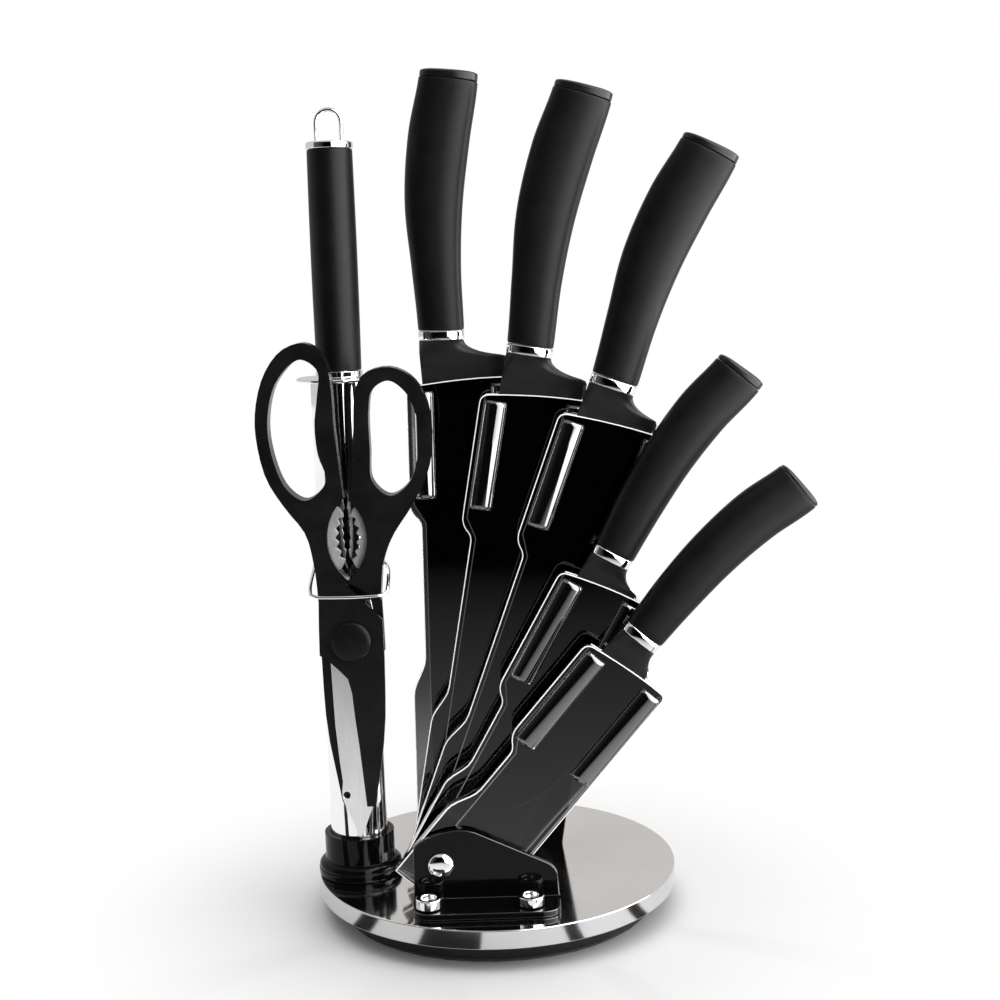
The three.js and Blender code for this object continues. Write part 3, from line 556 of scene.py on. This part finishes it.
# ---- knives ---------------------------------------------------------------------------------------
class Grip:
    """Width and depth at the collar, the heel's height below it, and from the collar to the handle's end
    how far its middle line drifts across and how wide it is."""

    def __init__(self, width, depth, heel, drift, widths):
        self.width, self.depth, self.heel = width, depth, heel
        self.drift, self.widths = drift, widths


class Knife:
    """A knife and its sheath, in the plane of the sheath: u is across and v along, from the bolt.

    tilt is from vertical, in degrees. top is the height of the sheath's mouth at the spine, rise what it
    gains by the other side, and right how far across that side is. ring is the foot of the collar, and
    collar its middle across. The blade's edge is at edge, down to belly, and then curves in to tip.
    """

    def __init__(self, name, grip, tilt, top, rise, right, ring, collar, edge, belly, tip, handle):
        self.name, self.grip, self.handle = name, grip, handle
        self.top, self.rise, self.right = top, rise, right
        self.ring, self.collar = ring, collar
        self.edge, self.belly, self.tip = edge, belly, tip
        self.foot = ring - GAP  # where the bolster ends, below the collar
        bolt = middle_of("pivot_nut")
        self.origin = Vector((bolt.x, middle_of(f"{name}_blade").y, bolt.z))
        angle = math.radians(tilt)
        self.across = Vector((math.cos(angle), 0, -math.sin(angle)))
        self.along = Vector((math.sin(angle), 0, math.cos(angle)))

    def point(self, u, y, v):
        return self.origin + (self.across * u + self.along * v) * MM + Vector((0, y * MM, 0))


LARGE = Grip(width=21.4, depth=14.6, heel=7.2,
             drift=(0, -1.5, -1.9, 1.2, 6.6), widths=(21.6, 23.2, 27, 28.6, 27.2))
SMALL = Grip(width=18.8, depth=12.6, heel=8.2,
             drift=(0, -0.2, 1, 4.6, 11), widths=(19, 21.2, 22.8, 24, 23.8))
KNIVES = [
    Knife("chef", LARGE, tilt=0.5, top=209, rise=4.2, right=38, ring=230.9, collar=4.2,
          edge=35, belly=110, tip=(-2, 24), handle=117),
    Knife("bread", LARGE, tilt=10.2, top=207, rise=4.2, right=38, ring=228, collar=6.4,
          edge=35, belly=84, tip=(2, 26), handle=117.5),
    Knife("slicing", LARGE, tilt=20.3, top=206.3, rise=4, right=38, ring=223.9, collar=6,
          edge=31, belly=90, tip=(-1, 24), handle=111),
    Knife("utility", SMALL, tilt=29.4, top=140, rise=3.8, right=29, ring=154.2, collar=4.8,
          edge=24, belly=70, tip=(0, 23), handle=97.5),
    Knife("paring", SMALL, tilt=40.6, top=119, rise=3, right=30, ring=133.8, collar=4.6,
          edge=19, belly=75, tip=(4, 32), handle=94.4),
]
COLLAR_HEIGHT = 4.2


def through(values, t):
    """A smooth curve through evenly spaced values, at t from 0 to 1, and its slope per step."""
    last = len(values) - 1
    at = min(t, 1) * last
    i = min(int(at), last - 1)
    part = at - i
    start, end = values[i], values[i + 1]
    start_slope = (end - values[max(i - 1, 0)]) / 2
    end_slope = (values[min(i + 2, last)] - start) / 2
    cubed = 2 * start - 2 * end + start_slope + end_slope
    squared = -3 * start + 3 * end - 2 * start_slope - end_slope
    value = cubed * part**3 + squared * part**2 + start_slope * part + start
    return value, 3 * cubed * part**2 + 2 * squared * part + start_slope


def oval(knife, u, v, width, depth, lean=0.0):
    """A rounded oval ring of points about (u, v), across the handle, turned by lean."""
    SQUARENESS = 0.86  # 1 is an ellipse, less is squarer
    SIDES = 64
    ring = []
    for i in range(SIDES):
        cosine, sine = math.cos(TAU * i / SIDES), math.sin(TAU * i / SIDES)
        out = math.copysign(abs(cosine) ** SQUARENESS, cosine) * width / 2
        y = math.copysign(abs(sine) ** SQUARENESS, sine) * depth / 2
        ring.append(knife.point(u + out * math.cos(lean), y, v - out * math.sin(lean)))
    return ring


def grip_ring(knife, t, grow=0.0, lift=0.0):
    """A ring of the handle at t from 0 to 1, made larger by grow and moved out along it by lift."""
    DEPTH_GAIN = 0.45  # of the gain in width
    drift, slope = through(knife.grip.drift, t)
    width = through(knife.grip.widths, t)[0]
    lean = math.atan2(slope, knife.handle / (len(knife.grip.drift) - 1)) * t
    depth = knife.grip.depth + (width - knife.grip.width) * DEPTH_GAIN
    u = knife.collar + drift + lift * math.sin(lean)
    v = knife.ring + COLLAR_HEIGHT + GAP + knife.handle * min(t, 1) + lift * math.cos(lean)
    return oval(knife, u, v, width + grow, depth + grow, lean)


CAP = 0.975  # where the end cap starts, as a part of the handle's length
GRIP_SHARP = 60


def make_handle(knife):
    """A soft edge at the collar, the swell of the grip, and a soft edge at the end cap."""
    STATIONS = 44
    SOFT_START = [(0, -0.8), (0.0025, -0.3), (0.005, -0.2), (0.0075, -0.1)]
    SOFT_END = [(CAP - 0.006, 0.0), (CAP - 0.002, -0.2), (CAP, -0.6)]
    rings = [grip_ring(knife, t, grow) for t, grow in SOFT_START]
    rings += [grip_ring(knife, CAP * i / STATIONS) for i in range(1, STATIONS)]
    rings += [grip_ring(knife, t, grow) for t, grow in SOFT_END]
    skinned(f"{knife.name}_handle", rings, GRIP_SHARP)


def make_end_cap(knife):
    """A band as wide as the handle and a low dome on its end."""
    BAND_STEPS, DOME_STEPS = 4, 8
    DOME_HEIGHT, DOME_INSET = 1.5, 13
    SOFT_START = [(-1.0, GAP), (-0.5, GAP + 0.2)]
    GROW = -0.45
    end = 0.985 if knife.name == "paring" else 1  # shorter, to stay inside the CAD's box
    rings = [grip_ring(knife, CAP, grow, lift) for grow, lift in SOFT_START]
    for i in range(1, BAND_STEPS + 1):
        rings.append(grip_ring(knife, CAP + (end - CAP) * i / BAND_STEPS, GROW))
    for i in range(1, DOME_STEPS + 1):
        angle = i / DOME_STEPS * QUARTER
        grow = GROW - DOME_INSET * (1 - math.cos(angle))
        rings.append(grip_ring(knife, end, grow, DOME_HEIGHT * math.sin(angle)))
    skinned(f"{knife.name}_end_cap", rings, GRIP_SHARP)


def make_collar(knife):
    SOFT = [(0.0, 0.7), (0.12, 0.25), (0.4, 0.0)]  # height from an end, and what the width loses there
    steps = SOFT + [(COLLAR_HEIGHT - height, loss) for height, loss in reversed(SOFT)]
    width, depth = knife.grip.width, knife.grip.depth
    rings = [
        oval(knife, knife.collar, knife.ring + height, width - loss, depth - loss)
        for height, loss in steps
    ]
    skinned(f"{knife.name}_collar", rings, GRIP_SHARP)


# ---- blades ---------------------------------------------------------------------------------------
SPINE = -5  # the blade's back, across
BLADE_THICKNESS = 2
BLADE_SHARP = 40
BLADE_STEPS = 16  # from the back to the edge, on each side
INSET = 0.2  # of the bolster from the collar's sides


def bezier(start, control, end):
    STEPS = 24
    return [
        tuple((1 - t) ** 2 * s + 2 * t * (1 - t) * c + t * t * e for s, c, e in zip(start, control, end))
        for t in (i / STEPS for i in range(STEPS + 1))
    ]


def across_at(curve, v):
    """The curve's distance across at height v. The curve runs downwards."""
    for (u1, v1), (u2, v2) in zip(curve, curve[1:]):
        if v2 <= v <= v1:
            return u1 if v1 == v2 else u1 + (u2 - u1) * (v1 - v) / (v1 - v2)
    return curve[0][0] if v > curve[0][1] else curve[-1][0]


def spine_of(knife):
    """The back of the bolster and of the blade, down to the point."""
    STRAIGHT, UNDER_MOUTH = 6, 3
    BEND, PULL = 0.45, 8
    back = knife.collar - knife.grip.width / 2 + INSET
    tip_height = knife.tip[1]
    bend = tip_height + (knife.belly - tip_height) * BEND
    bolster = [(back, knife.foot), (back, knife.foot - STRAIGHT), (SPINE, knife.top - UNDER_MOUTH)]
    return bolster + bezier((SPINE, bend), (SPINE, tip_height + PULL), knife.tip)


def edge_of(knife):
    """The bolster's front, which sweeps out to the heel, and the edge from there to the point."""
    SWEEP_STEPS, SWEEP = 12, 0.55
    PULL = 0.35
    CORNER = [(-1.0, -0.3), (0, -2)]  # of the heel
    front = knife.collar + knife.grip.width / 2 - INSET
    heel = knife.foot - knife.grip.heel
    sweep = []
    for i in range(SWEEP_STEPS):
        out = 1 - (1 - (i / SWEEP_STEPS) ** 2) ** SWEEP
        sweep.append((front + (knife.edge - front) * out, knife.foot - knife.grip.heel * i / SWEEP_STEPS))
    corner = [(knife.edge + u, heel + v) for u, v in CORNER]
    tip_height = knife.tip[1]
    pull = tip_height + (knife.belly - tip_height) * PULL
    return sweep + corner + bezier((knife.edge, knife.belly), (knife.edge, pull), knife.tip)


def blade_heights(knife, fall):
    """Where the blade's rings are: down the bolster, down to the belly, and closer towards the point."""
    BOLSTER_STEPS, STRAIGHT_STEPS, POINT_STEPS = 22, 12, 30
    SHORT = 0.4  # of the point
    below = knife.foot - fall
    reach = knife.belly - knife.tip[1] - SHORT
    heights = [knife.foot - fall * (i / BOLSTER_STEPS) for i in range(BOLSTER_STEPS + 1)]
    for i in range(1, STRAIGHT_STEPS + 1):
        heights.append(below - (below - knife.belly) * i / STRAIGHT_STEPS)
    for i in range(1, POINT_STEPS + 1):
        heights.append(knife.belly - reach * math.sin(i / POINT_STEPS * QUARTER))
    return heights


def half_thickness(part, width, thickness, sunk):
    """At part of the way from back to edge. sunk is 0 for the bolster's oval and 1 for the ground blade."""
    ROUNDNESS = 2.3  # 2 is an ellipse, more is squarer
    GROUND_WIDTH = 9
    EDGE_SHARE = 0.12  # of the thickness, kept at the edge
    THINNEST = 0.12
    oval_half = thickness / 2 * max(1 - abs(2 * part - 1) ** ROUNDNESS, 0) ** (1 / ROUNDNESS)
    ground_half = thickness / 2 * min(1, (1 - part) * width / GROUND_WIDTH + EDGE_SHARE)
    return max(oval_half * (1 - sunk) + ground_half * sunk, THINNEST)


def make_blade(knife):
    """Bolster and blade in one skin: an oval under the collar that thins into the ground blade."""
    BELOW_HEEL, ABOVE_MOUTH = 6, 0.5
    THINNING = 1.7
    fall = min(knife.grip.heel + BELOW_HEEL, knife.foot - knife.top - knife.rise - ABOVE_MOUTH)
    swell = knife.grip.depth - 2 * INSET - BLADE_THICKNESS
    spine, edge = spine_of(knife), edge_of(knife)
    rings = []
    for v in blade_heights(knife, fall):
        left, right = across_at(spine, v), across_at(edge, v)
        sunk = min((knife.foot - v) / fall, 1)
        thickness = BLADE_THICKNESS + swell * (1 - sunk) ** THINNING
        front_side, back_side = [], []
        for step in range(BLADE_STEPS + 1):
            part = (1 - math.cos(math.pi * step / BLADE_STEPS)) / 2
            half = half_thickness(part, right - left, thickness, sunk)
            u = left + (right - left) * part
            front_side.append(knife.point(u, -half, v))
            back_side.append(knife.point(u, half, v))
        rings.append(front_side + back_side[::-1])
    blade = skinned(f"{knife.name}_blade", rings, BLADE_SHARP)
    shine_ground_edge(blade, len(rings) - 1)


def shine_ground_edge(blade, bands):
    """The steel is bare where the edge is ground, from just below the heel. bands is the number of rows."""
    FIRST_BAND, EDGE_STEPS = 16, 2
    bare = add_look(blade, GROUND_EDGE)
    sides = 2 * BLADE_STEPS + 2
    for number in range(FIRST_BAND * sides, bands * sides):
        if abs(number % sides - BLADE_STEPS) <= EDGE_STEPS:
            blade.data.polygons[number].material_index = bare


# ---- sheaths --------------------------------------------------------------------------------------
SHEATH_LEFT = -13  # the spine side beside the mouth, across
SHEATH_FACE = -3.3  # the front face, from the sheath's middle plane
RIB_WIDTH, RIB_LENGTH, RIB_DEPTH = 10.5, 51, 3


def add_rib(shape, knife, across, high, look_number):
    """A long rounded bump with rounded ends, a little larger than the one in the CAD."""
    SIDES, END_STEPS = 48, 8
    END_LENGTH, END_SIZE = 2.4, 0.5  # how long a rounded end is, and its size where it starts
    GROW = 0.04
    SUNK = 0.15  # part of the depth that goes into the sheath
    ends = []
    for step in range(END_STEPS + 1):
        turn = step / END_STEPS * QUARTER
        ends.append((END_LENGTH * (1 - math.cos(turn)), END_SIZE + (1 - END_SIZE) * math.sin(turn)))
    places = [(high - RIB_LENGTH - GROW + along, size) for along, size in ends]
    places += [(high + GROW - along, size) for along, size in reversed(ends)]
    rings = []
    for along, size in places:
        half = RIB_WIDTH / 4 * (1 + size) + GROW
        depth = RIB_DEPTH * size + GROW
        ring = []
        for i in range(SIDES):
            angle = TAU * i / SIDES
            y = SHEATH_FACE + depth * min(math.sin(angle), SUNK)
            ring.append(shape.verts.new(knife.point(across + half * math.cos(angle), y, along)))
        rings.append(ring)
    faces = [shape.faces.new(rings[0]), shape.faces.new(rings[-1])]
    for lower, upper in zip(rings, rings[1:]):
        faces += bridge(shape, lower, upper)
    bmesh.ops.recalc_face_normals(shape, faces=faces)
    for face in faces:
        face.material_index = look_number
        face.smooth = True


def make_sheath(knife):
    """The flat sheet's edges carry a painted, glowing highlight. The ribs on its front face are denser."""
    LEFT_INSET, RIGHT_INSET = 2.3, 0.6
    LEFT_DROP, RIGHT_DROP = 2, 3
    CLEAR = 0.05
    piece = refined(f"{knife.name}_sheath", width=0.45, sharp=40)
    # painted highlight: the rounded edges get the near-white glowing edge look
    shine_edges(piece, ACRYLIC_EDGE_GLOW)
    rib_look = add_look(piece, ACRYLIC_RIB)
    shape = bmesh.new()
    shape.from_mesh(piece.data)
    front = knife.origin.y + (SHEATH_FACE - CLEAR) * MM
    cad_ribs = [face for face in shape.faces if face.calc_center_median().y < front]
    bmesh.ops.delete(shape, geom=cad_ribs, context="FACES")
    left = SHEATH_LEFT + LEFT_INSET + RIB_WIDTH / 2
    right = knife.right - RIGHT_INSET - RIB_WIDTH / 2
    add_rib(shape, knife, left, knife.top - LEFT_DROP, rib_look)
    add_rib(shape, knife, right, knife.top + knife.rise - RIGHT_DROP, rib_look)
    shape.to_mesh(piece.data)
    shape.free()


# ---- base -----------------------------------------------------------------------------------------
def make_disc_shell():
    """A sheet with a turned-down rim, which has its own look."""
    SHEET = 1
    CLEAR = 0.1  # between the sheet and the core's place
    RIM_BAND = 0.5
    low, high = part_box("disc_shell")
    outer, rim, top = high.x / MM, low.z / MM, high.z / MM
    inner, under = outer - SHEET, top - SHEET + CLEAR
    shell = turned("disc_shell", [
        (0, under), (inner, under), (inner, rim), (outer, rim), (outer, top), (0, top),
    ], center=(0, 0, 0), width=0.55)
    rim_look = add_look(shell, RIM_STEEL)
    for face in shell.data.polygons:
        if face.center.xy.length > (outer - RIM_BAND) * MM:
            face.material_index = rim_look


def make_foot():
    """A dish with a hub for the spindle. The spindle's nut is in a well under the hub."""
    BORE, WELL, HUB = 3.3, 11.5, 14  # radii
    WELL_DEPTH, FLOOR_THICKNESS, HUB_HEIGHT = 4.8, 2.5, 7.2
    UNDERSIDE, LIP, FLOOR = 4.1, 3, 6  # how far in from the outer radius they end
    SOFT_TOP, SOFT_DROP = 0.3, 1.2
    low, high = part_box("base_foot")
    under, top, outer = low.z / MM, high.z / MM, high.x / MM
    turned("base_foot", [
        (BORE, under + WELL_DEPTH), (WELL, under + WELL_DEPTH), (WELL, under), (outer - UNDERSIDE, under),
        (outer, top - SOFT_DROP), (outer - SOFT_TOP, top), (outer - LIP, top),
        (outer - FLOOR, under + FLOOR_THICKNESS), (HUB, under + FLOOR_THICKNESS),
        (HUB, under + HUB_HEIGHT), (BORE, under + HUB_HEIGHT),
    ], center=(0, 0, 0), width=0.5)


def make_base():
    make_disc_shell()
    make_foot()
    simple = ["non_slip_pad", "glide_ring", "disc_core", "spindle_bolt", "spindle_nut", "pivot_nut"]
    simple += [f"fan_spacer_{number}" for number in range(1, 5)]
    for node in simple:
        refined(node, width=0.25)


# ---- brackets and screws --------------------------------------------------------------------------
def make_pivot_bolt():
    """A domed head in front of the bracket, and a shank through all the sheaths."""
    DOME_HEIGHT, SHANK = 2.6, 3
    low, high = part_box("pivot_bolt")
    center = (low + high) / 2
    radius = (high.x - low.x) / 2 / MM
    plate = low.y + DOME_HEIGHT * MM
    back = -(high.y - plate) / MM
    dome = [
        (0, DOME_HEIGHT), (2.2, 2.48), (4, 2.1), (5.3, 1.45), (radius - 0.25, 0.7), (radius, 0.2),
        (radius, 0),
    ]
    shank = [(SHANK, 0), (SHANK, back), (0, back)]
    turned("pivot_bolt", dome + shank, (center.x, plate, center.z), width=0.15, axis="Y")


def make_screw(node):
    """A socket head screw."""
    SHANK, SOCKET = 2, 3.5  # radii
    HEAD_HEIGHT, SOCKET_DEPTH = 4.6, 2.2
    width, _, height = size_of(node)
    radius, seat, socket = width / 2, height - HEAD_HEIGHT, height - SOCKET_DEPTH
    turned(node, [
        (0, 0), (SHANK, 0), (SHANK, seat), (radius, seat), (radius, height), (SOCKET, height),
        (SOCKET, socket), (0, socket),
    ], foot_of(node), width=0.6)


def make_brackets():
    for node in ("front_bracket", "rear_bracket"):
        shine_edges(refined(node, width=0.4, segments=3, sharp=38), BRACKET_EDGE)
    make_pivot_bolt()
    for node in ("front_screw_left", "front_screw_right", "rear_screw_left", "rear_screw_right"):
        make_screw(node)


# ---- steel and tube -------------------------------------------------------------------------------
TUBE_RADIUS = (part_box("steel_tube")[1].x - middle_of("tube_socket").x) / MM
STEM = 5.2  # radius of the rod's hole in the guard and in the handle


def on_tube_axis(node, profile, width):
    """The socket, the tube and the steel's pieces are all turned about one axis."""
    x, y, _ = middle_of("tube_socket")
    turned(node, profile, (x, y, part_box(node)[0].z), width)


def make_socket():
    """A collar on a foot with two rounded steps."""
    NECK, BORE = 16.4, TUBE_RADIUS + GAP
    HEIGHT, FLOOR = 20, 2.2
    foot = [(0, 0), (19.4, 0), (19.7, 0.8), (19.7, 3.2), (19.2, 3.6), (19.5, 4.2), (19.2, 5.6), (18, 6.8)]
    collar = [(NECK, 7.2), (NECK, HEIGHT), (BORE, HEIGHT), (BORE, FLOOR), (0, FLOOR)]
    on_tube_axis("tube_socket", foot + collar, width=0.35)


def make_tube():
    WALL = 1
    inner = TUBE_RADIUS - WALL
    height = size_of("steel_tube")[2]
    profile = [(inner, 0), (TUBE_RADIUS, 0), (TUBE_RADIUS, height), (inner, height)]
    on_tube_axis("steel_tube", profile, width=0.25)


def make_guard():
    """A thin disc that rests on the tube, and a collar on it."""
    COLLAR, HEIGHT = 10.6, 4.5
    disc = [(STEM, 0), (19.3, 0), (19.6, 0.4), (19.6, 1.1), (19.0, 1.7)]
    collar = [(COLLAR, 1.9), (COLLAR, HEIGHT), (STEM, HEIGHT)]
    on_tube_axis("steel_guard", disc + collar, width=0.3)


def make_steel_handle():
    """A slightly swollen grip and the chrome cap on its end."""
    RADIUS, SWELL, STEPS = 10.2, 0.3, 20
    HOLE_DEPTH = 30
    length = size_of("steel_handle")[2]
    hole = [(0, HOLE_DEPTH), (STEM, HOLE_DEPTH), (STEM, 0)]
    grip = [
        (RADIUS + SWELL * math.sin(math.pi * i / STEPS), length * i / STEPS)
        for i in range(STEPS + 1)
    ]
    on_tube_axis("steel_handle", hole + grip + [(0, length)], width=0.35)
    cap = [(0, 0), (10.4, 0), (10.5, 0.5), (10.5, 2.6), (9.9, 3.1), (0, 3.2)]
    on_tube_axis("steel_end_cap", cap, width=0.3)


def make_steel():
    make_socket()
    make_tube()
    make_guard()
    make_steel_handle()
    refined("steel_rod", width=0.2)


def make_wires():
    for node in ("steel_loop", "scissors_wire_loop"):
        refined(node, width=0.05, segments=1, sharp=60)


# ---- scissors -------------------------------------------------------------------------------------
def make_pivot_cap():
    """A low black dome over the rivet."""
    RADIUS = 9
    center = middle_of("scissors_pivot_cap")
    depth = size_of("scissors_pivot_cap")[1]
    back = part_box("scissors_pivot_cap")[1].y
    turned("scissors_pivot_cap", [
        (0, depth), (4, depth - 0.05), (6.6, depth - 0.2), (8, depth - 0.5), (8.7, depth - 0.9),
        (RADIUS, depth - 1.4), (RADIUS, 0), (0, 0),
    ], (center.x, back, center.z), width=0.15, axis="Y")


def make_scissors():
    for half in ("front", "rear"):
        refined(f"scissors_{half}_handle", width=2.1, segments=5, sharp=42)
        refined(f"scissors_{half}_blade", width=0.2)
        jaw = refined(f"scissors_{half}_jaw", width=0.2)
        jaw.data.materials[0] = JAW_STEEL
    refined("scissors_pivot_pin", width=0.2)
    make_pivot_cap()


make_camera()
make_studio()
make_base()
make_brackets()
make_steel()
make_wires()
make_scissors()
for knife in KNIVES:
    make_sheath(knife)
    make_blade(knife)
    make_collar(knife)
    make_handle(knife)
    make_end_cap(knife)
